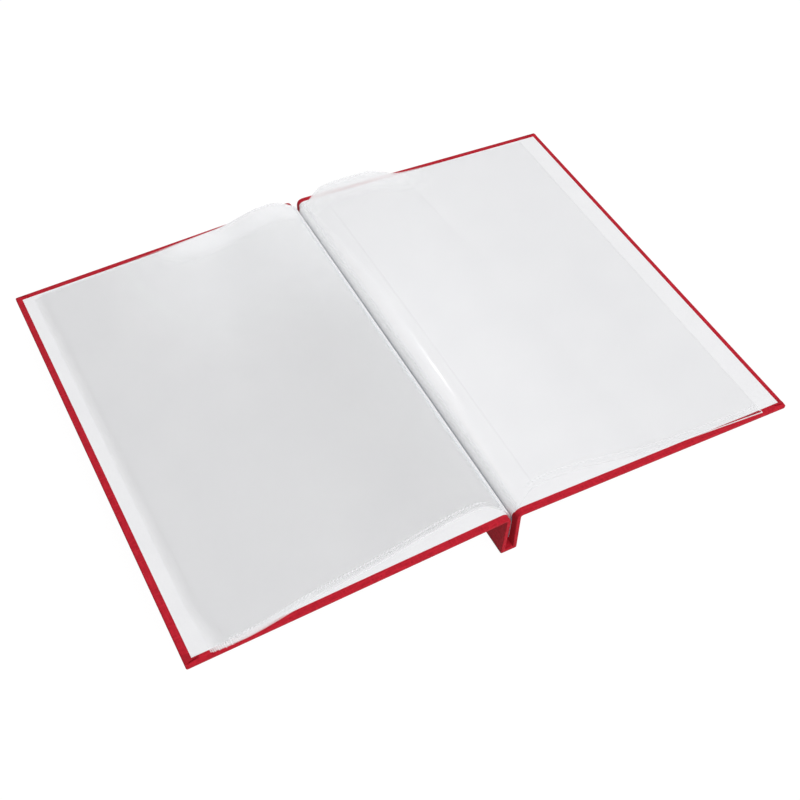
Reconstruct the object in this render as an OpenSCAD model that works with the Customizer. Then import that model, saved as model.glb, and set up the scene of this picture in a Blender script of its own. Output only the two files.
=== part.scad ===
// Certificate folder: two cloth-covered covers on an album binding, with clear pockets bound between
// two hinge strips. It stands open on its spine: +X runs to the back cover, +Y to the head of the
// folder and +Z up. The origin is the middle of the spine's underside.

/* [Covers] */
// Height of the covers, from tail to head
cover_height = 315; // [250:1:380]
// Width of one cover, from its hinge edge to its fore-edge
cover_width = 205; // [150:1:260]
// Rounding of the two corners at each fore-edge
corner_radius = 1; // [0.5:0.5:10]
// Thickness of the stiff grey board
board_thickness = 2; // [1.2:0.1:3]
// Thickness of the covering cloth, and of the paper that lines the inside
cloth_thickness = 0.4; // [0.3:0.1:0.6]
// Width of the cloth that shows round the paper on the inside
turn_in = 3.5; // [2:0.5:12]
// Angle at which an open cover slopes down from its hinge
open_slope = 2.4; // [0:0.2:8]

/* [Binding] */
// Height of the hinge lines above the surface that the spine stands on
hinge_height = 34.5; // [20:0.5:60]
// Angle at which the hinge strips lean towards each other
strip_lean = 1.5; // [0:0.25:3]
// Bare cloth between a hinge strip and its cover
joint_gap = 1.5; // [1:0.25:4]
// Gap at each fold line: at the foot of a hinge strip and between its cloth and the cover's
fold_gap = 0.3; // [0.2:0.1:1]
// Empty channel between the spine and the bound margins
channel_height = 5; // [2:0.5:10]
// Room left between the two stacks of pockets when the folder is shut
closing_clearance = 0.4; // [0.3:0.1:2]

/* [Pockets] */
// Pockets that lie on the front cover
front_pockets = 10; // [2:1:12]
// Pockets that lie on the back cover
back_pockets = 2; // [2:1:8]
// Thickness of one clear film
film_thickness = 0.1; // [0.08:0.01:0.15]
// Room between the two films of an empty pocket
pocket_gap = 0.06; // [0.04:0.01:0.1]
// Gap between one pocket and the next
stack_gap = 0.06; // [0.04:0.01:0.1]
// Height of a pocket, from tail to head
pocket_height = 308; // [240:1:370]
// Distance from the tail of a pocket to the tail edge of the covers
tail_margin = 1.5; // [0.5:0.5:10]
// Distance from the fore-edge of the lowest front pocket to the fore-edge of its cover
front_margin = 12; // [4:0.5:30]
// Distance from the fore-edge of the lowest back pocket to the fore-edge of its cover
back_margin = 11; // [4:0.5:30]
// How much shorter each pocket reaches than the one beneath it
fore_edge_step = 1.9; // [0:0.1:4]

/* [Hidden] */
pocket_count = front_pockets + back_pockets;
pocket_pitch = 2 * film_thickness + pocket_gap + stack_gap;
panel_thickness = board_thickness + 2 * cloth_thickness;
throat_width = pocket_count * pocket_pitch + closing_clearance;
hinge_x = throat_width / 2 + panel_thickness;
strip_foot = panel_thickness + fold_gap;
strip_height = (hinge_height - strip_foot) / cos(strip_lean);
spine_width = 2 * (hinge_x + strip_height * sin(strip_lean));
margin_foot = panel_thickness + channel_height;
margin_height = hinge_height - fold_gap - margin_foot;
pocket_centre = tail_margin - (cover_height - pocket_height) / 2;
seat_gap = closing_clearance / 4;
// How far a cut runs past the face that it opens, and a joined piece into its neighbour
bite = 1;
$fn = 64;

cloth_red = [0.74, 0.15, 0.2];
board_grey = [0.55, 0.54, 0.52];
paper_white = [0.94, 0.94, 0.95];
film_clear = [0.84, 0.87, 0.9, 0.6];

function two_digits(number) = number < 10 ? str("0", number) : str(number);
function film_name(number, film) = str("pocket_", two_digits(number), "_", film, "_film");
FILMS = ["lower", "upper"];

// Outline of a panel that starts at its hinge edge and is drawn in from its other three edges
module panel_outline(width, height, radius, inset, fore_inset, overrun = 0) {
    reach = width - fore_inset;
    half = height / 2 - inset;
    round_off = max(radius - inset, 0);
    translate([-overrun, -half + round_off])
        square([reach + overrun, 2 * (half - round_off)]);
    if (round_off > 0) {
        translate([-overrun, -half])
            square([reach + overrun - round_off, 2 * half]);
        for (end = [-1, 1])
            translate([reach - round_off, end * (half - round_off)])
                circle(round_off);
    }
}

// Cloth over the outer face of a panel, round its edges and a little way onto its inner face
module panel_cloth(width, height, radius, wraps_fore_edge) {
    edge = wraps_fore_edge ? cloth_thickness : 0;
    rim = wraps_fore_edge ? turn_in : 0;
    past = wraps_fore_edge ? 0 : bite;
    color(cloth_red)
    difference() {
        linear_extrude(panel_thickness)
            panel_outline(width, height, radius, 0, 0);
        translate([0, 0, cloth_thickness])
            linear_extrude(board_thickness)
                panel_outline(width, height, radius, cloth_thickness, edge - past, bite);
        translate([0, 0, panel_thickness - cloth_thickness])
            linear_extrude(cloth_thickness + bite)
                panel_outline(width, height, radius, turn_in, rim - past, bite);
    }
}

// Stiff board inside the cloth of a panel
module panel_board(width, height, radius, wraps_fore_edge) {
    edge = wraps_fore_edge ? cloth_thickness : 0;
    color(board_grey)
    translate([0, 0, cloth_thickness])
        linear_extrude(board_thickness)
            panel_outline(width, height, radius, cloth_thickness, edge);
}

// Paper on the inner face of a panel, between the turned-in edges of the cloth
module panel_paper(width, height, radius, wraps_fore_edge) {
    rim = wraps_fore_edge ? turn_in : 0;
    color(paper_white)
    translate([0, 0, panel_thickness - cloth_thickness])
        linear_extrude(cloth_thickness)
            panel_outline(width, height, radius, turn_in, rim);
}

// Bare cloth from the hinge edge of a cover to the fold line
module fold_cloth() {
    reach = joint_gap - fold_gap;
    color(cloth_red)
    translate([-reach, -cover_height / 2, 0])
        cube([reach + bite, cover_height, cloth_thickness]);
}

// Stands a piece made for the back half on its own side: the front half mirrors it
module on_side(side) {
    mirror([side == "front" ? 1 : 0, 0, 0])
        children();
}

// Moves a flat panel to where an open cover lies
module as_cover(side) {
    on_side(side)
        translate([hinge_x, 0, hinge_height])
            rotate([0, open_slope, 0])
                translate([joint_gap, 0, 0])
                    children();
}

// Stands a flat panel on the spine as a hinge strip
module as_hinge_strip(side) {
    on_side(side)
        translate([spine_width / 2, 0, strip_foot])
            rotate([0, -90 - strip_lean, 0])
                children();
}

module cover_board(side) {
    as_cover(side)
        panel_board(cover_width, cover_height, corner_radius, true);
}

module cover_cloth(side) {
    as_cover(side) {
        panel_cloth(cover_width, cover_height, corner_radius, true);
        fold_cloth();
    }
}

module endpaper(side) {
    as_cover(side)
        panel_paper(cover_width, cover_height, corner_radius, true);
}

module hinge_board(side) {
    as_hinge_strip(side)
        panel_board(strip_height, cover_height, 0, false);
}

module hinge_cloth(side) {
    as_hinge_strip(side)
        panel_cloth(strip_height, cover_height, 0, false);
}

module hinge_lining(side) {
    as_hinge_strip(side)
        panel_paper(strip_height, cover_height, 0, false);
}

module spine_board() {
    translate([-spine_width / 2, 0, 0])
        panel_board(spine_width, cover_height, 0, false);
}

module spine_cloth() {
    translate([-spine_width / 2, 0, 0])
        panel_cloth(spine_width, cover_height, 0, false);
}

// Inner margins of all the pockets, standing side by side between the hinge strips
module bound_margins() {
    color(film_clear)
    for (place = [0:pocket_count - 1])
        translate([(place - pocket_count / 2) * pocket_pitch + stack_gap / 2,
                   pocket_centre - pocket_height / 2, margin_foot])
            cube([pocket_pitch - stack_gap, pocket_height, margin_height]);
}

// One film of a pocket, lying on its cover at its place in the stack
module pocket_film(number, film) {
    on_front = number <= front_pockets;
    place = on_front ? number - 1 : pocket_count - number;
    margin = (on_front ? front_margin : back_margin) + place * fore_edge_step;
    lift = panel_thickness + seat_gap + place * pocket_pitch
        + (film == "upper" ? film_thickness + pocket_gap : 0);
    color(film_clear)
    as_cover(on_front ? "front" : "back")
        translate([0, pocket_centre - pocket_height / 2, lift])
            cube([cover_width - margin, pocket_height, film_thickness]);
}

spine_board();
spine_cloth();
hinge_board("front");  // front_hinge_board
hinge_cloth("front");  // front_hinge_cloth
hinge_lining("front");  // front_hinge_lining
hinge_board("back");  // back_hinge_board
hinge_cloth("back");  // back_hinge_cloth
hinge_lining("back");  // back_hinge_lining
bound_margins();
cover_board("front");  // front_cover_board
cover_cloth("front");  // front_cover_cloth
endpaper("front");  // front_endpaper
cover_board("back");  // back_cover_board
cover_cloth("back");  // back_cover_cloth
endpaper("back");  // back_endpaper
for (number = [1:pocket_count], film = FILMS)
    pocket_film(number, film);
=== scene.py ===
import math

import bmesh
import bpy
from mathutils import Matrix, Vector


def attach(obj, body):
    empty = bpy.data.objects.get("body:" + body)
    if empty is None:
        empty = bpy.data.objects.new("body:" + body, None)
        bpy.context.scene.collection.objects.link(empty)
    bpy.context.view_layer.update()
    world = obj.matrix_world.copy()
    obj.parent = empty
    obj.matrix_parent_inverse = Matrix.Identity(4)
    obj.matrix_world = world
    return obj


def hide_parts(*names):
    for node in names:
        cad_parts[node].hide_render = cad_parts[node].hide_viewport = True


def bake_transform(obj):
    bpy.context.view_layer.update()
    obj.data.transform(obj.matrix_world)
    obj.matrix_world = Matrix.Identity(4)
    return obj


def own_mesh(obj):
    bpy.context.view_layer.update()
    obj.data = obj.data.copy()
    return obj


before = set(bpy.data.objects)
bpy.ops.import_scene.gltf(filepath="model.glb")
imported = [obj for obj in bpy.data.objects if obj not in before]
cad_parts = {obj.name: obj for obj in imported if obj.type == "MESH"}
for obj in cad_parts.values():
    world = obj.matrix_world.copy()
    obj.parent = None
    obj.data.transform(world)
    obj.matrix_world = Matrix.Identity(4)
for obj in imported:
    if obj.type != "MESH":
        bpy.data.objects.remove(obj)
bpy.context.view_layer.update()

# Sizes are in millimetres and turned into metres where a mesh is placed
mm = 0.001

# Covers and binding, as in the part's source
cover_height = 315
cover_width = 205
corner_radius = 1
board_thickness = 2
cloth_thickness = 0.4
open_slope = math.radians(2.4)
hinge_height = 34.5
strip_lean = math.radians(1.5)
joint_gap = 1.5
fold_gap = 0.3
channel_height = 5
closing_clearance = 0.4

# Pockets, as in the part's source: a leaf is the pair of films of one pocket
front_leaves = 10
back_leaves = 2
film_thickness = 0.1
pocket_gap = 0.06
stack_gap = 0.06

# Sizes that follow from these
panel_thickness = board_thickness + 2 * cloth_thickness
film_pitch = film_thickness + pocket_gap
pocket_pitch = film_pitch + film_thickness + stack_gap
seat_gap = closing_clearance / 4
throat_half = ((front_leaves + back_leaves) * pocket_pitch + closing_clearance) / 2
hinge_x = throat_half + panel_thickness
strip_foot = panel_thickness + fold_gap
spine_half = hinge_x + (hinge_height - strip_foot) * math.tan(strip_lean)
margin_foot = panel_thickness + channel_height
cover_reach = joint_gap + cover_width

# Cloth and lining paper
edge_round = 0.6
foot_round = 1.3
throat_round = 0.8
outer_fold_start = 32.9
inner_fold_start = 32
fold_reach = 2.5
paper_thickness = 0.07
wall_paper_inset = 9
# Bare cloth left round the paper of each cover: at its tail, its head and the two ends of its fore-edge
paper_inset = {
    "front": {"tail": 4.4, "head": 4.2, "fore_tail": 5.0, "fore_head": 4.0},
    "back": {"tail": 4.4, "head": 4.0, "fore_tail": 3.6, "fore_head": 3.6},
}

# Film leaves
leaf_start = 0.3
bow_foot = -3.5
# Bow of each side's films: how far their starts spread, the lowest film's share of the rise, the rise above
# the stack, the crest's distance from the fold line and where the films lie flat. The last three are given at
# the tail, with their change towards the head and the curl there.
bow_shape = {
    "front": {"spread": 3.5, "lowest_share": 0.94,
              "rise": (10, -4.4, 0), "crest": (30, -6, 0), "flat": (155, -95, 0)},
    "back": {"spread": 2.9, "lowest_share": 0.85,
             "rise": (11.1, 2.5, -4), "crest": (30, -4, 26), "flat": (112, -27, 0)},
}
# How each back leaf lies: its gap to the tail edge at the fore-edge, what the gap grows by up to the gutter,
# its head at the gutter and the slant of its head
back_lie = [
    {"tail_gap": 1.4, "tail_slant": 8, "head": 156.5, "head_slant": 0.03},
    {"tail_gap": 3.4, "tail_slant": 6.2, "head": 157.6, "head_slant": 0.035},
]

# Bound margins: the tops of their straight part and of the throat, and how far each side's keep to their leaf
straight_top = 24
throat_top = 33
margin_pull = {"front": 4, "back": 9}

# The photograph's camera: angles in degrees, place in millimetres, focal length in pixels of a frame that is
# 800 pixels wide
photo_width = 800
view_azimuth = -30.63
view_elevation = 50.31
view_roll = -3.41
view_offset = (-6.18, -15.1, 855.55)
focal_pixels = 1234.26


def ease(value):
    value = min(max(value, 0.0), 1.0)
    return value * value * (3 - 2 * value)


def sign_of(side):
    return -1 if side == "front" else 1


def leaves_on(side):
    return front_leaves if side == "front" else back_leaves


# A point on a cover: u from the fold line, y towards the head, w up from the cover's outer face
def on_cover(side, u, y, w):
    x = hinge_x + u * math.cos(open_slope) + w * math.sin(open_slope)
    z = hinge_height - u * math.sin(open_slope) + w * math.cos(open_slope)
    return Vector((sign_of(side) * x, y, z)) * mm


# Outer or inner face of a hinge strip at a height
def wall_x(outer, z):
    inside = 0 if outer else panel_thickness
    return hinge_x - inside + (hinge_height - z) * math.tan(strip_lean)


def curve(start, corner, end, steps):
    points = []
    for step in range(steps + 1):
        t = step / steps
        x = (1 - t) ** 2 * start[0] + 2 * t * (1 - t) * corner[0] + t * t * end[0]
        z = (1 - t) ** 2 * start[1] + 2 * t * (1 - t) * corner[1] + t * t * end[1]
        points.append((x, z))
    return points


def cover_xz(u, w):
    point = on_cover("back", u, 0, w) / mm
    return point.x, point.z


# Inner face of one half of the case, from the cover's fold down into the throat
def fold_curve():
    steps = 10
    corner_in = 0.05
    corner_up = 0.1
    start = cover_xz(fold_reach, panel_thickness)
    end = (wall_x(False, inner_fold_start), inner_fold_start)
    corner = (throat_half + corner_in, start[1] + corner_up)
    return curve(start, corner, end, steps)


# Section of one half of the cloth-covered case: spine, hinge strip, fold and cover
def case_outline():
    foot_top = (wall_x(True, foot_round + cloth_thickness), foot_round)
    fold_foot = (wall_x(True, outer_fold_start), outer_fold_start)
    throat_side = (wall_x(False, panel_thickness + throat_round), panel_thickness + throat_round)
    throat_corner = (wall_x(False, panel_thickness), panel_thickness)
    throat_floor = (throat_corner[0] - throat_round, panel_thickness)
    outline = [(0, 0)]
    outline += curve((spine_half - foot_round, 0), (spine_half, 0), foot_top, 4)
    outline += curve(fold_foot, (hinge_x, hinge_height), cover_xz(joint_gap, 0), 5)
    outline.append(cover_xz(cover_reach, 0))
    outline.append(cover_xz(cover_reach, panel_thickness))
    outline += fold_curve()
    outline += curve(throat_side, throat_corner, throat_floor, 3)
    outline.append((0, panel_thickness))
    return outline


def round_edges(bm, edges, radius, segments):
    bmesh.ops.bevel(bm, geom=edges, offset=radius * mm, offset_type="OFFSET", segments=segments,
                    profile=0.5, affect="EDGES", material=-1, clamp_overlap=True)


def finish_piece(name, bm, material):
    sharp_from = math.radians(40)
    mesh = bpy.data.meshes.new(name)
    bm.to_mesh(mesh)
    bm.free()
    for polygon in mesh.polygons:
        polygon.use_smooth = True
    mesh.set_sharp_from_angle(angle=sharp_from)
    mesh.materials.append(material)
    piece = bpy.data.objects.new(name, mesh)
    bpy.context.scene.collection.objects.link(piece)
    return piece


# Clear film throws no shadow worth seeing, and soft light passes it
def let_light_through(piece):
    piece.visible_shadow = False
    piece.visible_diffuse = False


# The weave runs with the piece: each face is laid flat along the axis that it faces
def lay_weave(bm):
    weave = bm.loops.layers.uv.new("weave")
    bm.normal_update()
    for face in bm.faces:
        facing = max(range(3), key=lambda axis: abs(face.normal[axis]))
        across = 2 if facing == 0 else 0
        along = 2 if facing == 1 else 1
        for loop in face.loops:
            loop[weave].uv = (loop.vert.co[across], loop.vert.co[along])


# A face at the tail, the head or the fore-edge of the case, and not one of its flat or bent ones
def is_edge_face(face, reach):
    steepest_edge = 0.3
    least_end_facing = 0.02
    fore_edge_band = 1 * mm
    if abs(face.normal.z) > steepest_edge:
        return False
    at_end = abs(face.normal.y) > least_end_facing
    return at_end or face.calc_center_median().x > reach - fore_edge_band


# One layer of folded cloth on the rim. Each spot gives the distance from the fore-edge, the distance from the
# end edge and the height of the layer, which thins out where it runs on into the plain rim.
def folded_layer(bm, end, spots):
    sunk = 0.1
    layer_round = 0.06
    half = cover_height / 2
    outline = [bm.verts.new(on_cover("back", cover_reach - a, end * (half - b), panel_thickness - sunk))
               for a, b, height in spots]
    layer = bm.faces.new(outline)
    raised = bmesh.ops.extrude_face_region(bm, geom=[layer])["geom"]
    top_face = [item for item in raised if isinstance(item, bmesh.types.BMFace)][0]
    for vert, (a, b, height) in zip(top_face.verts, spots):
        vert.co = on_cover("back", cover_reach - a, end * (half - b), panel_thickness + height)
    round_edges(bm, list(top_face.edges), layer_round, 2)


# The cloth is folded over itself at an outer corner: a flap from the fore-edge and a tongue from the end edge
# leave a narrow slit between them
def corner_folds(bm, side, end):
    under_paper = 0.2
    under_end_paper = 0.15
    bare = paper_inset[side]
    fore = (bare["fore_tail"] if end < 0 else bare["fore_head"]) - under_paper
    rim = (bare["tail"] if end < 0 else bare["head"]) - under_end_paper
    flap = [(0.6, 2.2, 0.6), (3.5, 2.6, 1.2), (7.5, 3.1, 1.1), (8.8, rim, 0.4), (fore, rim, 0.1),
            (fore, 8, 0.02), (0.6, 8, 0.02)]
    tongue = [(1.8, 0.6, 0.05), (13, 0.6, 0.02), (13, rim, 0.02), (9.7, rim, 0.4), (8.2, 2.25, 0.9),
              (4, 1.6, 1.0), (1.8, 0.95, 0.6)]
    folded_layer(bm, end, flap)
    folded_layer(bm, end, tongue)


def make_case(side, cloth):
    fore_edge_band = 0.5 * mm
    level_within = 1e-6
    off_middle = 0.01 * mm
    half = cover_height / 2 * mm
    bm = bmesh.new()
    outline = [bm.verts.new((x * mm, -half, z * mm)) for x, z in case_outline()]
    section = bm.faces.new(outline)
    grown = bmesh.ops.extrude_face_region(bm, geom=[section])["geom"]
    head = [item for item in grown if isinstance(item, bmesh.types.BMVert)]
    bmesh.ops.translate(bm, verts=head, vec=(0, 2 * half, 0))
    bmesh.ops.recalc_face_normals(bm, faces=bm.faces)
    reach = max(vert.co.x for vert in bm.verts)
    corners = [edge for edge in bm.edges
               if min(vert.co.x for vert in edge.verts) > reach - fore_edge_band
               and abs(edge.verts[0].co.y - edge.verts[1].co.y) < level_within]
    round_edges(bm, corners, corner_radius, 4)
    bm.normal_update()
    reach = max(vert.co.x for vert in bm.verts)
    rim = [edge for edge in bm.edges
           if len(edge.link_faces) == 2
           and is_edge_face(edge.link_faces[0], reach) != is_edge_face(edge.link_faces[1], reach)
           and max(vert.co.x for vert in edge.verts) > off_middle]
    round_edges(bm, rim, edge_round, 3)
    for end in (-1, 1):
        corner_folds(bm, side, end)
    if side == "front":
        bmesh.ops.scale(bm, vec=(-1, 1, 1), verts=bm.verts)
    bmesh.ops.recalc_face_normals(bm, faces=bm.faces)
    lay_weave(bm)
    piece = finish_piece(side + "_case_cloth", bm, cloth)
    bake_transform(piece)
    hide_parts(side + "_cover_cloth", side + "_hinge_cloth", "spine_cloth")


# Stiff boards inside the cloth of one half: they stop short of the fold so that it can bend
def make_boards(side, board):
    foot_clear = 0.1
    fold_clear = 0.2
    cover_clear = 0.3
    board_round = 0.1
    height = cover_height - 2 * cloth_thickness
    strip = bmesh.new()
    bmesh.ops.create_cube(strip, size=1)
    for vert in strip.verts:
        z = strip_foot + foot_clear if vert.co.z < 0 else inner_fold_start - fold_clear
        x = wall_x(True, z) - cloth_thickness if vert.co.x > 0 else wall_x(False, z) + cloth_thickness
        vert.co = Vector((sign_of(side) * x, height * vert.co.y, z)) * mm
    panel = bmesh.new()
    bmesh.ops.create_cube(panel, size=1)
    for vert in panel.verts:
        u = cover_reach - cloth_thickness if vert.co.x > 0 else fold_reach + cover_clear
        w = cloth_thickness + board_thickness if vert.co.z > 0 else cloth_thickness
        vert.co = on_cover(side, u, height * vert.co.y, w)
    for name, body, bm in (("hinge", "binding", strip), ("cover", side + "_cover", panel)):
        bmesh.ops.recalc_face_normals(bm, faces=bm.faces)
        round_edges(bm, list(bm.edges), board_round, 2)
        piece = finish_piece(f"{side}_{name}_stiff_board", bm, board)
        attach(piece, body)
        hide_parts(f"{side}_{name}_board")


# One sheet of paper from the cover's rim over the fold and down the hinge strip, where it is drawn in from
# both ends
def make_lining(side, paper):
    flat_stations = (150, 100, 50, 14)
    wall_stations = (24, 14, 5)
    bare = paper_inset[side]
    half = cover_height / 2
    flat = [cover_xz(u, panel_thickness) for u in (cover_reach - bare["fore_tail"], *flat_stations)]
    fold = fold_curve()
    wall = [(wall_x(False, z), z) for z in wall_stations]
    draw_in_from = len(flat) + 7
    draw_in_steps = 5
    bm = bmesh.new()
    previous = None
    for number, (x, z) in enumerate(flat + fold + wall):
        drawn_in = ease((number - draw_in_from) / draw_in_steps)
        inset = bare["tail"] + (wall_paper_inset - bare["tail"]) * drawn_in
        vert = bm.verts.new((x * mm, (inset - half) * mm, z * mm))
        if previous:
            bm.edges.new((previous, vert))
        previous = vert
    grown = bmesh.ops.extrude_edge_only(bm, edges=bm.edges)["geom"]
    head = [item for item in grown if isinstance(item, bmesh.types.BMVert)]
    for vert in head:
        vert.co.y = -vert.co.y + (bare["tail"] - bare["head"]) * mm
    outer = max(head, key=lambda vert: vert.co.x)
    outer.co = on_cover("back", cover_reach - bare["fore_head"], half - bare["head"], panel_thickness)
    bmesh.ops.recalc_face_normals(bm, faces=bm.faces)
    widest = max(bm.faces, key=lambda face: face.calc_area())
    if widest.normal.z > 0:
        bmesh.ops.reverse_faces(bm, faces=bm.faces)
    bmesh.ops.solidify(bm, geom=bm.faces, thickness=paper_thickness * mm)
    bmesh.ops.recalc_face_normals(bm, faces=bm.faces)
    if side == "front":
        bmesh.ops.scale(bm, vec=(-1, 1, 1), verts=bm.verts)
        bmesh.ops.reverse_faces(bm, faces=bm.faces)
    piece = finish_piece(side + "_lining_paper", bm, paper)
    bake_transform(piece)
    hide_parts(side + "_endpaper", side + "_hinge_lining")


# A value of the bow: up runs from 0 at the tail to 1 at the head
def towards_head(value, up):
    at_tail, change, curl = value
    return at_tail + change * up + curl * up ** 4


# Height of a film above its cover's outer face: it bows up out of the binding to a crest and sinks to its
# place in the stack. Level runs from 0 for the lowest film to 1 for the top one.
def film_height(side, level, u, up):
    shape = bow_shape[side]
    flat = panel_thickness + seat_gap + level * (2 * leaves_on(side) - 1) * film_pitch
    start = panel_thickness + shape["spread"] * level
    share = shape["lowest_share"] + (1 - shape["lowest_share"]) * level
    rise = towards_head(shape["rise"], up) * share
    crest = towards_head(shape["crest"], up)
    flat_from = towards_head(shape["flat"], up)
    if u < crest:
        begin = math.sqrt(1 - ((crest - leaf_start) / (crest - bow_foot)) ** 2)
        bowed = math.sqrt(1 - ((crest - u) / (crest - bow_foot)) ** 2)
        return start + (flat + rise - start) * (bowed - begin) / (1 - begin)
    fall = min((u - crest) / (flat_from - crest), 1)
    return flat + rise * (0.5 + 0.5 * math.cos(math.pi * fall))


# Gap between the tail of a front leaf and the tail edge of its cover: wider beside the gutter and for the
# lower leaves, and narrow near the fore-edge, where the leaf lies over the rim
def front_tail_gap(lowness, shift, u):
    plain_gap = 4
    gutter_gap = 4.6
    gutter_width = 100
    rim_from = 118
    rim_width = 56
    rim_overlap = 4.2
    lowest_gap = 5.2
    lowest_gap_at_rim = 2.2
    over_rim = ease((u - rim_from) / rim_width)
    gap = plain_gap + gutter_gap * (1 - ease(u / gutter_width)) - rim_overlap * over_rim
    gap += (lowest_gap - (lowest_gap - lowest_gap_at_rim) * over_rim) * lowness
    return gap + shift * over_rim


# Tail and head of a leaf at a distance from the fold line: it lies a little askew on its cover, and where it
# leaves the binding its tail reaches out and its head draws in
def leaf_ends(side, place, u):
    tail_edge = -cover_height / 2
    shift = 0.4 * math.sin(2.4 * place + 1)
    tail_near_binding = math.exp(-(u / 7) ** 2)
    if side == "front":
        tail_out = 4
        head_in = 4.5
        head_at_gutter = 154.2
        head_slant = 0.025
        lowness = 1 - place / (front_leaves - 1)
        tail = tail_edge + front_tail_gap(lowness, shift, u) - tail_out * tail_near_binding
        head = head_at_gutter + shift - head_slant * u - head_in * tail_near_binding
        return tail, head
    tail_out = 5
    head_in = 9
    slant_length = 188
    lie = back_lie[place]
    head_near_binding = math.exp(-(u / 10) ** 2)
    gap = lie["tail_gap"] + lie["tail_slant"] * (1 - u / slant_length)
    tail = tail_edge + shift + gap - tail_out * tail_near_binding
    head = lie["head"] + shift - lie["head_slant"] * u - head_in * head_near_binding
    return tail, head


# Distance of a leaf's fore-edge from the fold line: a straight line that the front leaves leave near the
# tail, where they fan out
def leaf_reach(side, place, along):
    if side == "back":
        return cover_reach - 18.7 - 0.8 * place + (2.1 - 0.2 * place) * along
    crowding = 0.7
    fan_zone = 0.12
    lowness = 1 - place / (front_leaves - 1)
    tail = cover_reach - 22 + 8.4 * lowness ** crowding
    head = cover_reach - 18.8 + 8 * lowness ** crowding
    fan = 6 - 3.8 * lowness
    return tail + (head - tail) * along - fan * (1 - ease(along / fan_zone))


# A point of a film, and its distances from the leaf's fore-edge and tail: the points crowd towards the
# gutter, where the film bends most
def leaf_point(side, place, level, across, along):
    even_share = 0.25
    crowding = 2.2
    reach = leaf_reach(side, place, along)
    u = leaf_start + (reach - leaf_start) * (even_share * across + (1 - even_share) * across ** crowding)
    tail, head = leaf_ends(side, place, u)
    y = tail + (head - tail) * along
    return u, y, film_height(side, level, u, along), reach - u, y - tail


def make_film(side, number, place, film, material):
    steps_across = 56
    steps_along = 36
    order = 2 * place + (1 if film == "upper" else 0)
    level = order / (2 * leaves_on(side) - 1)
    bm = bmesh.new()
    from_gutter = bm.verts.layers.float.new("from_gutter")
    from_tail = bm.verts.layers.float.new("from_tail")
    from_fore_edge = bm.verts.layers.float.new("from_fore_edge")
    bmesh.ops.create_grid(bm, x_segments=steps_across, y_segments=steps_along, size=0.5)
    for vert in bm.verts:
        u, y, w, fore, tail = leaf_point(side, place, level, vert.co.x + 0.5, vert.co.y + 0.5)
        vert[from_gutter] = u * mm
        vert[from_tail] = tail * mm
        vert[from_fore_edge] = fore * mm
        vert.co = on_cover(side, u, y, w)
    bmesh.ops.solidify(bm, geom=bm.faces, thickness=film_thickness * mm)
    bmesh.ops.recalc_face_normals(bm, faces=bm.faces)
    leaf = bm.loops.layers.uv.new("leaf")
    edge = bm.loops.layers.uv.new("edge")
    for face in bm.faces:
        for loop in face.loops:
            loop[leaf].uv = (loop.vert[from_gutter], loop.vert[from_tail])
            loop[edge].uv = (loop.vert[from_fore_edge], loop.vert[from_tail])
    body = f"pocket_{number:02d}"
    piece = finish_piece(f"{body}_{film}_leaf", bm, material)
    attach(piece, body)
    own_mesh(piece)
    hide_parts(f"{body}_{film}_film")
    let_light_through(piece)


# Bound margins of one side's leaves: from the foot of the throat up to where each leaf begins
def make_margins(side, material):
    steps_up = 16
    steps_along = 14
    straight = 0.35
    look_ahead = 1.5
    leaves = leaves_on(side)
    last_slot = front_leaves + back_leaves - 1
    bm = bmesh.new()
    climbed = bm.verts.layers.float.new("climbed")
    for place in range(leaves):
        level = (2 * place + 0.5) / (2 * leaves - 1)
        slot_number = place if side == "front" else last_slot - place
        foot_x = (slot_number - last_slot / 2) * pocket_pitch
        tail, head = leaf_ends(side, place, leaf_start)
        strip = bmesh.ops.create_grid(bm, x_segments=steps_up, y_segments=steps_along, size=0.5)["verts"]
        for vert in strip:
            climb = vert.co.x + 0.5
            along = vert.co.y + 0.5
            y = tail + (head - tail) * along
            begin = film_height(side, level, leaf_start, along)
            after = film_height(side, level, leaf_start + look_ahead, along)
            end = on_cover(side, leaf_start, y, begin) / mm
            onward = (on_cover(side, leaf_start + look_ahead, y, after) / mm - end).normalized()
            low = Vector((foot_x, y, straight_top))
            vert[climbed] = climb
            if climb < straight:
                vert.co = low * mm
                vert.co.z = (margin_foot + (low.z - margin_foot) * climb / straight) * mm
            else:
                t = (climb - straight) / (1 - straight)
                high = Vector((foot_x, y, throat_top))
                near_end = end - margin_pull[side] * onward
                vert.co = ((1 - t) ** 3 * low + 3 * t * (1 - t) ** 2 * high
                           + 3 * t * t * (1 - t) * near_end + t ** 3 * end) * mm
    bmesh.ops.solidify(bm, geom=bm.faces, thickness=2 * film_thickness * mm)
    bmesh.ops.recalc_face_normals(bm, faces=bm.faces)
    height = bm.loops.layers.uv.new("height")
    for face in bm.faces:
        for loop in face.loops:
            loop[height].uv = (loop.vert[climbed], loop.vert.co.y)
    piece = finish_piece(side + "_bound_margins", bm, material)
    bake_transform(piece)
    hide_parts("bound_margins")
    let_light_through(piece)


def new_material(name):
    material = bpy.data.materials.new(name)
    material.use_nodes = True
    nodes = material.node_tree.nodes
    return material, nodes, material.node_tree.links, nodes["Principled BSDF"]


def make_node(nodes, kind, **settings):
    node = nodes.new(kind)
    for name, value in settings.items():
        setattr(node, name, value)
    return node


def set_inputs(node, **values):
    for name, value in values.items():
        node.inputs[name.replace("_", " ")].default_value = value


def math_node(nodes, links, operation, first, second=None, third=None):
    node = make_node(nodes, "ShaderNodeMath", operation=operation)
    for socket, value in zip(node.inputs, (first, second, third)):
        if value is None:
            continue
        if isinstance(value, (int, float)):
            socket.default_value = value
        else:
            links.new(value, socket)
    return node.outputs[0]


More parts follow.
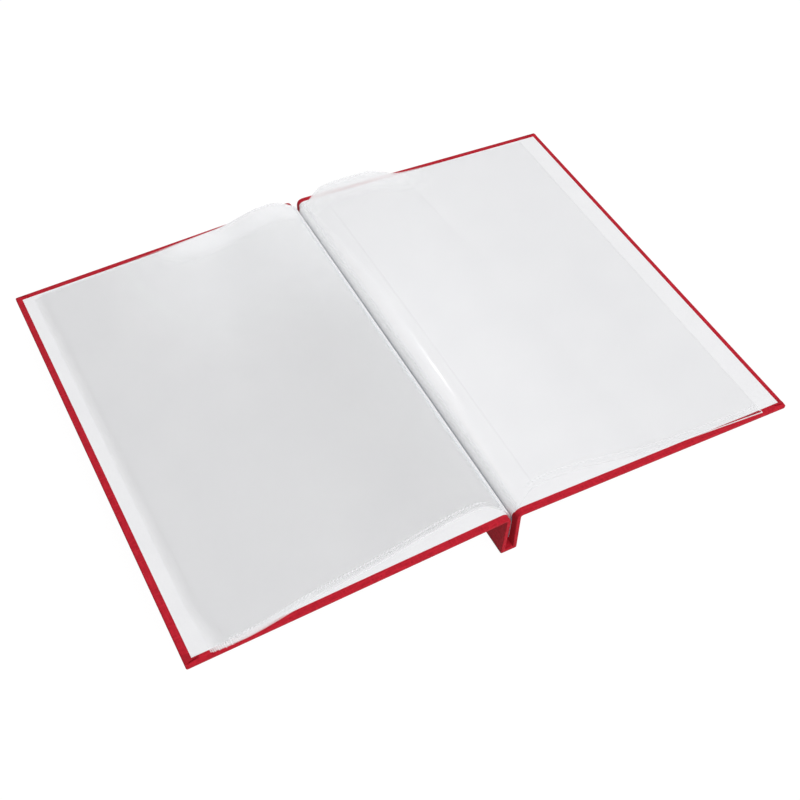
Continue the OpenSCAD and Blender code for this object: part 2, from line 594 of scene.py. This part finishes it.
def noise(nodes, links, place, **settings):
    node = make_node(nodes, "ShaderNodeTexNoise")
    set_inputs(node, **settings)
    links.new(place, node.inputs["Vector"])
    return node.outputs["Fac"]


# A place stretched along its axes before a texture reads it
def stretched(nodes, links, place, scale):
    mapping = make_node(nodes, "ShaderNodeMapping")
    mapping.inputs["Scale"].default_value = scale
    links.new(place, mapping.inputs["Vector"])
    return mapping.outputs["Vector"]


# A value turned into shades, each given with the place where it is reached
def shades_of(nodes, links, value, shades):
    ramp = make_node(nodes, "ShaderNodeValToRGB")
    while len(ramp.color_ramp.elements) < len(shades):
        ramp.color_ramp.elements.new(0.5)
    for element, (position, shade) in zip(ramp.color_ramp.elements, shades):
        element.position = position
        element.color = shade
    links.new(value, ramp.inputs["Fac"])
    return ramp.outputs["Color"]


def add_bump(nodes, links, shader, height, strength, distance):
    bump = make_node(nodes, "ShaderNodeBump")
    set_inputs(bump, Strength=strength, Distance=distance)
    links.new(height, bump.inputs["Height"])
    links.new(bump.outputs["Normal"], shader.inputs["Normal"])


def mix_shaders(nodes, links, share, first, second):
    mix = make_node(nodes, "ShaderNodeMixShader")
    links.new(share, mix.inputs["Fac"])
    links.new(first, mix.inputs[1])
    links.new(second, mix.inputs[2])
    return mix.outputs["Shader"]


def red_cloth():
    weave_relief = 0.6
    slub_relief = 2.2
    shade_per_height = 0.434
    material, nodes, links, shader = new_material("red_linen_cloth")
    weave = make_node(nodes, "ShaderNodeUVMap", uv_map="weave").outputs["UV"]
    threads = []
    for direction in ("X", "Y"):
        wave = make_node(nodes, "ShaderNodeTexWave", wave_type="BANDS", bands_direction=direction)
        set_inputs(wave, Scale=520, Distortion=1.6, Detail=2, Detail_Scale=0.6)
        links.new(weave, wave.inputs["Vector"])
        threads.append(wave.outputs["Fac"])
    slubs = []
    for stretch in ((110, 700, 1), (700, 110, 1)):
        thread_run = stretched(nodes, links, weave, stretch)
        slubs.append(noise(nodes, links, thread_run, Scale=1, Detail=3, Roughness=0.6))
    weave_height = math_node(nodes, links, "MAXIMUM", threads[0], threads[1])
    slub_height = math_node(nodes, links, "MAXIMUM", slubs[0], slubs[1])
    fine_height = math_node(nodes, links, "MULTIPLY", weave_height, weave_relief)
    height = math_node(nodes, links, "MULTIPLY_ADD", slub_height, slub_relief, fine_height)
    shade = math_node(nodes, links, "MULTIPLY", height, shade_per_height)
    reds = [(0.35, (0.22, 0.002, 0.008, 1)), (1, (0.69, 0.024, 0.045, 1))]
    links.new(shades_of(nodes, links, shade, reds), shader.inputs["Base Color"])
    add_bump(nodes, links, shader, height, 0.35, 0.0001)
    set_inputs(shader, Roughness=0.75, Sheen_Weight=0.03, Sheen_Roughness=0.4, Specular_IOR_Level=0.15)
    return material


def white_paper():
    cloud_share = 0.6
    material, nodes, links, shader = new_material("white_lining_paper")
    place = make_node(nodes, "ShaderNodeTexCoord").outputs["Object"]
    fibre = noise(nodes, links, place, Scale=900, Detail=4, Roughness=0.65)
    cloud = noise(nodes, links, place, Scale=35, Detail=2, Roughness=0.5)
    mixed = math_node(nodes, links, "MULTIPLY_ADD", cloud, cloud_share, fibre)
    whites = [(0.45, (0.84, 0.84, 0.855, 1)), (1, (0.89, 0.89, 0.9, 1))]
    links.new(shades_of(nodes, links, mixed, whites), shader.inputs["Base Color"])
    add_bump(nodes, links, shader, fibre, 0.12, 0.00005)
    set_inputs(shader, Roughness=0.62)
    return material


def grey_board():
    material, nodes, links, shader = new_material("grey_cover_board")
    place = make_node(nodes, "ShaderNodeTexCoord").outputs["Object"]
    fleck = noise(nodes, links, place, Scale=420, Detail=5, Roughness=0.7)
    greys = [(0.3, (0.2, 0.19, 0.175, 1)), (0.75, (0.33, 0.32, 0.3, 1))]
    links.new(shades_of(nodes, links, fleck, greys), shader.inputs["Base Color"])
    add_bump(nodes, links, shader, fleck, 0.3, 0.0001)
    set_inputs(shader, Roughness=0.9)
    return material


# A value that runs smoothly from 0 to 1 while another goes from start to end
def fade(nodes, links, value, start, end):
    node = make_node(nodes, "ShaderNodeMapRange", interpolation_type="SMOOTHSTEP")
    node.inputs["From Min"].default_value = start
    node.inputs["From Max"].default_value = end
    links.new(value, node.inputs["Value"])
    return node.outputs["Result"]


# Distances on a leaf, from its two layouts: from the gutter, the tail and the fore-edge
def leaf_distances(nodes, links):
    distances = []
    for layout in ("leaf", "edge"):
        source = make_node(nodes, "ShaderNodeUVMap", uv_map=layout)
        split = make_node(nodes, "ShaderNodeSeparateXYZ")
        links.new(source.outputs["UV"], split.inputs["Vector"])
        distances += [split.outputs["X"], split.outputs["Y"]]
    return distances[:3]


# Painted light on every leaf, in milky white: a glint on its corner over the rim, a reflection on the bend
# beside the gutter, a reflection that grows towards the head and the gutter, and one where the open mouth
# bows up at the head
def film_painted_light(nodes, links, from_gutter, from_tail, from_fore_edge):
    # Strengths of the painted glint and the painted reflections
    painted_corner_glint = 0.3
    painted_bend_reflection = 0.006
    painted_head_reflection = 0.025
    painted_mouth_reflection = 0.26
    fore_edge = math_node(nodes, links, "LESS_THAN", from_fore_edge, 0.5 * mm)
    over_rim = math_node(nodes, links, "LESS_THAN", from_tail, 3.6 * mm)
    corner = math_node(nodes, links, "MULTIPLY", fore_edge, over_rim)
    by_gutter = fade(nodes, links, from_gutter, 60 * mm, 6 * mm)
    to_head = fade(nodes, links, from_tail, 150 * mm, 300 * mm)
    to_gutter = fade(nodes, links, from_gutter, 170 * mm, 80 * mm)
    head_reflection_share = math_node(nodes, links, "MULTIPLY", to_head, to_gutter)
    bowed = fade(nodes, links, from_gutter, 110 * mm, 55 * mm)
    mouth = fade(nodes, links, from_tail, 280 * mm, 306 * mm)
    bowed_mouth = math_node(nodes, links, "MULTIPLY", bowed, mouth)
    marks = math_node(nodes, links, "MULTIPLY", corner, painted_corner_glint)
    marks = math_node(nodes, links, "MULTIPLY_ADD", by_gutter, painted_bend_reflection, marks)
    marks = math_node(nodes, links, "MULTIPLY_ADD", head_reflection_share, painted_head_reflection, marks)
    return math_node(nodes, links, "MULTIPLY_ADD", bowed_mouth, painted_mouth_reflection, marks)


# How much light passes: a little less in a narrow stripe beside the fore-edge, a painted shadow of the edge,
# and beside the gutter, where the leaf turns towards the light or away from it, more as painted light on the
# back leaves and less as painted shade on the front ones
def passed_light(nodes, links, distances, clearness, painted_edge_shadow_depth, painted_gutter_shading, gutter_width):
    from_gutter, from_tail, from_fore_edge = distances
    # Painted shadow of the fore-edge, in a narrow stripe beside it
    painted_edge_shadow = math_node(nodes, links, "COMPARE", from_fore_edge, 0.8 * mm, 0.4 * mm)
    by_gutter = fade(nodes, links, from_gutter, gutter_width * mm, 6 * mm)
    below_head = fade(nodes, links, from_tail, 300 * mm, 150 * mm)
    turned = math_node(nodes, links, "MULTIPLY", by_gutter, below_head)
    passed = math_node(nodes, links, "MULTIPLY_ADD", painted_edge_shadow, -painted_edge_shadow_depth, clearness)
    return math_node(nodes, links, "MULTIPLY_ADD", turned, painted_gutter_shading, passed)


# Light passes through clear film, and marks turn it milky white: welds, and painted glints and reflections
def see_through(nodes, links, shader, marks, passed):
    clear = make_node(nodes, "ShaderNodeBsdfTransparent")
    links.new(passed, clear.inputs["Color"])
    set_inputs(shader, Base_Color=(0.93, 0.935, 0.945, 1), Roughness=0.5)
    return mix_shaders(nodes, links, marks, clear.outputs["BSDF"], shader.outputs["BSDF"])


# Film of the leaves beneath, where only the milky marks and the edges tell: painted glints and reflections in
# white, and a painted shadow beside the fore-edge
def stacked_film(name, clearness, painted_gutter_shading, gutter_width, tail_glint, tail_glint_width):
    painted_edge_shadow_depth = 0.007
    material, nodes, links, shader = new_material(name)
    distances = leaf_distances(nodes, links)
    from_gutter, from_tail, from_fore_edge = distances
    marks = film_painted_light(nodes, links, from_gutter, from_tail, from_fore_edge)
    # Painted glint along the cut tail edge near the corner, a wider milky band on the front leaves
    tail_edge = math_node(nodes, links, "LESS_THAN", from_tail, tail_glint_width * mm)
    near_corner = fade(nodes, links, from_fore_edge, 75 * mm, 35 * mm)
    tail_edge = math_node(nodes, links, "MULTIPLY", tail_edge, near_corner)
    marks = math_node(nodes, links, "MULTIPLY_ADD", tail_edge, tail_glint, marks)
    passed = passed_light(nodes, links, distances, clearness, painted_edge_shadow_depth, painted_gutter_shading, gutter_width)
    film = see_through(nodes, links, shader, marks, passed)
    links.new(film, nodes["Material Output"].inputs["Surface"])
    return material


# Welds of a leaf: a dotted one runs along the tail and a plain one follows the gutter
def weld_lines(nodes, links, from_gutter, from_tail):
    slant_rate = 0.8
    weld_line = math_node(nodes, links, "COMPARE", from_tail, 4.2 * mm, 0.8 * mm)
    slant = math_node(nodes, links, "MULTIPLY_ADD", from_tail, slant_rate, from_gutter)
    dash = math_node(nodes, links, "MODULO", slant, 2.5 * mm)
    dashes = math_node(nodes, links, "GREATER_THAN", dash, 1 * mm)
    tail_weld = math_node(nodes, links, "MULTIPLY", weld_line, dashes)
    away_from_gutter = fade(nodes, links, from_gutter, 4 * mm, 16 * mm)
    tail_weld = math_node(nodes, links, "MULTIPLY", tail_weld, away_from_gutter)
    gutter_weld = math_node(nodes, links, "COMPARE", from_gutter, 13 * mm, 0.4 * mm)
    return tail_weld, gutter_weld


# Film of the leaves that lie open to view: it shows its welds, and it shines more the flatter it is seen
def open_film(name, clearness, painted_gutter_shading, gutter_width, tail_glint, weld_mark):
    painted_edge_shadow_depth = 0.004
    gutter_weld_mark = 0.015
    grazing_power = 5
    grazing_shine = 0.45
    plain_shine = 0.014
    material, nodes, links, shader = new_material(name)
    distances = leaf_distances(nodes, links)
    from_gutter, from_tail, from_fore_edge = distances
    marks = film_painted_light(nodes, links, from_gutter, from_tail, from_fore_edge)
    # Painted glint along the cut tail edge, kept off the corner
    tail_edge = math_node(nodes, links, "LESS_THAN", from_tail, 0.6 * mm)
    off_corner = fade(nodes, links, from_fore_edge, 4 * mm, 9 * mm)
    tail_edge = math_node(nodes, links, "MULTIPLY", tail_edge, off_corner)
    tail_weld, gutter_weld = weld_lines(nodes, links, from_gutter, from_tail)
    marks = math_node(nodes, links, "MULTIPLY_ADD", tail_edge, tail_glint, marks)
    marks = math_node(nodes, links, "MULTIPLY_ADD", tail_weld, weld_mark, marks)
    marks = math_node(nodes, links, "MULTIPLY_ADD", gutter_weld, gutter_weld_mark, marks)
    passed = passed_light(nodes, links, distances, clearness, painted_edge_shadow_depth, painted_gutter_shading, gutter_width)
    film = see_through(nodes, links, shader, marks, passed)
    facing = make_node(nodes, "ShaderNodeLayerWeight")
    set_inputs(facing, Blend=0.5)
    grazing = math_node(nodes, links, "POWER", facing.outputs["Facing"], grazing_power)
    shine = math_node(nodes, links, "MULTIPLY_ADD", grazing, grazing_shine, plain_shine)
    gloss = make_node(nodes, "ShaderNodeBsdfGlossy")
    set_inputs(gloss, Roughness=0.13, Color=(0.96, 0.97, 0.98, 1))
    shiny = mix_shaders(nodes, links, shine, film, gloss.outputs["BSDF"])
    links.new(shiny, nodes["Material Output"].inputs["Surface"])
    return material


# The margins stand on edge, film against film: milky at the foot in the given shades, clear where they
# spread. The shades hold painted shade, made lighter a little towards the tail
def bound_film(name, shades, milky_to, clear_from):
    streak_depth = 0.2
    least_milky = 0.75
    milk_lost = 0.985
    painted_shade_eased_at_tail = 0.025
    material, nodes, links, shader = new_material(name)
    height = make_node(nodes, "ShaderNodeUVMap", uv_map="height").outputs["UV"]
    split = make_node(nodes, "ShaderNodeSeparateXYZ")
    links.new(height, split.inputs["Vector"])
    streak_run = stretched(nodes, links, height, (3, 60, 1))
    streaks = noise(nodes, links, streak_run, Scale=1, Detail=2, Roughness=0.5)
    thickness = math_node(nodes, links, "MULTIPLY_ADD", streaks, streak_depth, least_milky)
    spread_out = fade(nodes, links, split.outputs["X"], milky_to, clear_from)
    thinner = math_node(nodes, links, "MULTIPLY_ADD", spread_out, -milk_lost, 1)
    milky = math_node(nodes, links, "MULTIPLY", thickness, thinner)
    # Painted shade of the gutter eased towards the tail: the shades are read higher up there
    to_tail = fade(nodes, links, split.outputs["Y"], 100 * mm, -150 * mm)
    painted_shade_lookup = math_node(nodes, links, "MULTIPLY_ADD", to_tail, painted_shade_eased_at_tail, split.outputs["X"])
    links.new(shades_of(nodes, links, painted_shade_lookup, shades), shader.inputs["Base Color"])
    set_inputs(shader, Roughness=0.5)
    clear = make_node(nodes, "ShaderNodeBsdfTransparent")
    set_inputs(clear, Color=(0.99, 0.992, 0.994, 1))
    film = mix_shaders(nodes, links, milky, clear.outputs["BSDF"], shader.outputs["BSDF"])
    links.new(film, nodes["Material Output"].inputs["Surface"])
    return material


def pale_floor():
    white_share = 0.9
    material, nodes, links, shader = new_material("pale_studio_floor")
    place = make_node(nodes, "ShaderNodeTexCoord").outputs["Object"]
    grain = noise(nodes, links, place, Scale=6, Detail=2)
    greys = [(0, (0.6, 0.6, 0.6, 1)), (1, (0.62, 0.62, 0.62, 1))]
    links.new(shades_of(nodes, links, grain, greys), shader.inputs["Base Color"])
    set_inputs(shader, Roughness=0.9)
    white = make_node(nodes, "ShaderNodeEmission")
    set_inputs(white, Color=(1, 1, 1, 1), Strength=1.08)
    rays = make_node(nodes, "ShaderNodeLightPath")
    seen = math_node(nodes, links, "MAXIMUM", rays.outputs["Is Camera Ray"], rays.outputs["Is Glossy Ray"])
    seen = math_node(nodes, links, "MAXIMUM", seen, rays.outputs["Is Transmission Ray"])
    whitened = math_node(nodes, links, "MULTIPLY", seen, white_share)
    floor = mix_shaders(nodes, links, whitened, shader.outputs["BSDF"], white.outputs["Emission"])
    links.new(floor, nodes["Material Output"].inputs["Surface"])
    return material


def make_floor(material):
    half_width = 4
    bm = bmesh.new()
    bmesh.ops.create_grid(bm, x_segments=1, y_segments=1, size=half_width)
    mesh = bpy.data.meshes.new("studio_floor")
    bm.to_mesh(mesh)
    bm.free()
    mesh.materials.append(material)
    floor = bpy.data.objects.new("studio_floor", mesh)
    bpy.context.scene.collection.objects.link(floor)


# Places and sizes of lamps are in metres
def make_lamp(name, place, target, width, height, power, mirrored):
    data = bpy.data.lights.new(name, "AREA")
    data.shape = "RECTANGLE"
    data.size = width
    data.size_y = height
    data.energy = power
    lamp = bpy.data.objects.new(name, data)
    lamp.location = place
    lamp.rotation_euler = (Vector(target) - Vector(place)).to_track_quat("-Z", "Y").to_euler()
    lamp.visible_glossy = mirrored
    bpy.context.scene.collection.objects.link(lamp)


# The backdrop is white to the camera and in the gloss, and lights the rest softly. Two lamps are mirrored in
# the crest of the back leaves.
def make_light():
    world_strength = 0.37
    world = bpy.data.worlds.new("studio_light")
    world.use_nodes = True
    nodes = world.node_tree.nodes
    links = world.node_tree.links
    background = nodes["Background"]
    background.inputs["Color"].default_value = (0.985, 0.99, 1, 1)
    rays = make_node(nodes, "ShaderNodeLightPath")
    seen = math_node(nodes, links, "MAXIMUM", rays.outputs["Is Camera Ray"], rays.outputs["Is Glossy Ray"])
    strength = math_node(nodes, links, "MULTIPLY_ADD", seen, 1 - world_strength, world_strength)
    links.new(strength, background.inputs["Strength"])
    bpy.context.scene.world = world
    pages = (0, 0, 0.03)
    make_lamp("front_softbox", place=(0.5, -2.9, 2.1), target=pages, width=2.4, height=2.4, power=86,
              mirrored=False)
    make_lamp("top_softbox", place=(0.12, 0.26, 1.15), target=pages, width=0.8, height=0.8, power=4,
              mirrored=False)
    make_lamp("crest_spark", place=(-0.555, 0.73, 1.07), target=(0.012, -0.036, 0.044), width=0.035,
              height=0.035, power=0.2, mirrored=True)
    make_lamp("crest_glow", place=(-0.62, 0.75, 0.95), target=(0.012, 0, 0.044), width=0.7, height=0.25,
              power=0.35, mirrored=True)


def make_camera():
    sensor_width = 36
    data = bpy.data.cameras.new("photo_camera")
    data.sensor_width = sensor_width
    data.lens = sensor_width * focal_pixels / photo_width
    data.clip_start = 0.05
    turn = (Matrix.Rotation(math.radians(view_azimuth), 4, "Z")
            @ Matrix.Rotation(math.radians(90 - view_elevation), 4, "X")
            @ Matrix.Rotation(math.radians(-view_roll), 4, "Z"))
    across, down, away = view_offset
    place = turn.to_3x3() @ Vector((-across, down, away)) * mm
    camera = bpy.data.objects.new("photo_camera", data)
    camera.matrix_world = Matrix.Translation(place) @ turn
    bpy.context.scene.collection.objects.link(camera)
    bpy.context.scene.camera = camera


cloth = red_cloth()
paper = white_paper()
board = grey_board()
top_film = {
    "front": open_film("front_open_film", clearness=0.9975, painted_gutter_shading=-0.0017, gutter_width=110,
                       tail_glint=0.12, weld_mark=0.2),
    "back": open_film("back_open_film", clearness=0.992, painted_gutter_shading=0.007, gutter_width=150,
                      tail_glint=0.03, weld_mark=0.07),
}
lower_film = {
    "front": stacked_film("stacked_pocket_film", clearness=0.995, painted_gutter_shading=-0.0017, gutter_width=110,
                          tail_glint=0.07, tail_glint_width=2.6),
    "back": stacked_film("back_pocket_film", clearness=0.989, painted_gutter_shading=0.008, gutter_width=150,
                         tail_glint=0.35, tail_glint_width=0.7),
}
# Shades of the bound margins by height: bluish film darkened by painted shade deep in the throat, a painted
# shadow where the back margins part from the front ones at the gutter, then the milky white of the film
blue_film_and_throat_shade = (0.5, 0.57, 0.65, 1)
parting_painted_shade = (0.27, 0.34, 0.43, 1)
parting_painted_half_shade = (0.6, 0.64, 0.69, 1)
white_haze = (0.94, 0.945, 0.955, 1)
front_shades = [(0.42, blue_film_and_throat_shade), (0.6, white_haze)]
back_shades = [(0.42, blue_film_and_throat_shade), (0.57, parting_painted_shade), (0.62, parting_painted_half_shade), (0.68, white_haze)]
margin_film = {
    "front": bound_film("front_bound_film", front_shades, milky_to=0.74, clear_from=1),
    "back": bound_film("back_bound_film", back_shades, milky_to=0.82, clear_from=1),
}

for side in ("front", "back"):
    make_case(side, cloth)
    make_boards(side, board)
    make_lining(side, paper)
    make_margins(side, margin_film[side])
for side in ("front", "back"):
    for place in range(leaves_on(side)):
        number = place + 1 if side == "front" else front_leaves + back_leaves - place
        on_top = place == leaves_on(side) - 1
        for layer in ("lower", "upper"):
            make_film(side, number, place, layer, top_film[side] if on_top else lower_film[side])

spine_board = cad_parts["spine_board"]
spine_board.data.materials.clear()
spine_board.data.materials.append(board)

make_floor(pale_floor())
make_light()
make_camera()

scene = bpy.context.scene
scene.view_settings.view_transform = "Standard"
scene.cycles.transparent_max_bounces = 96
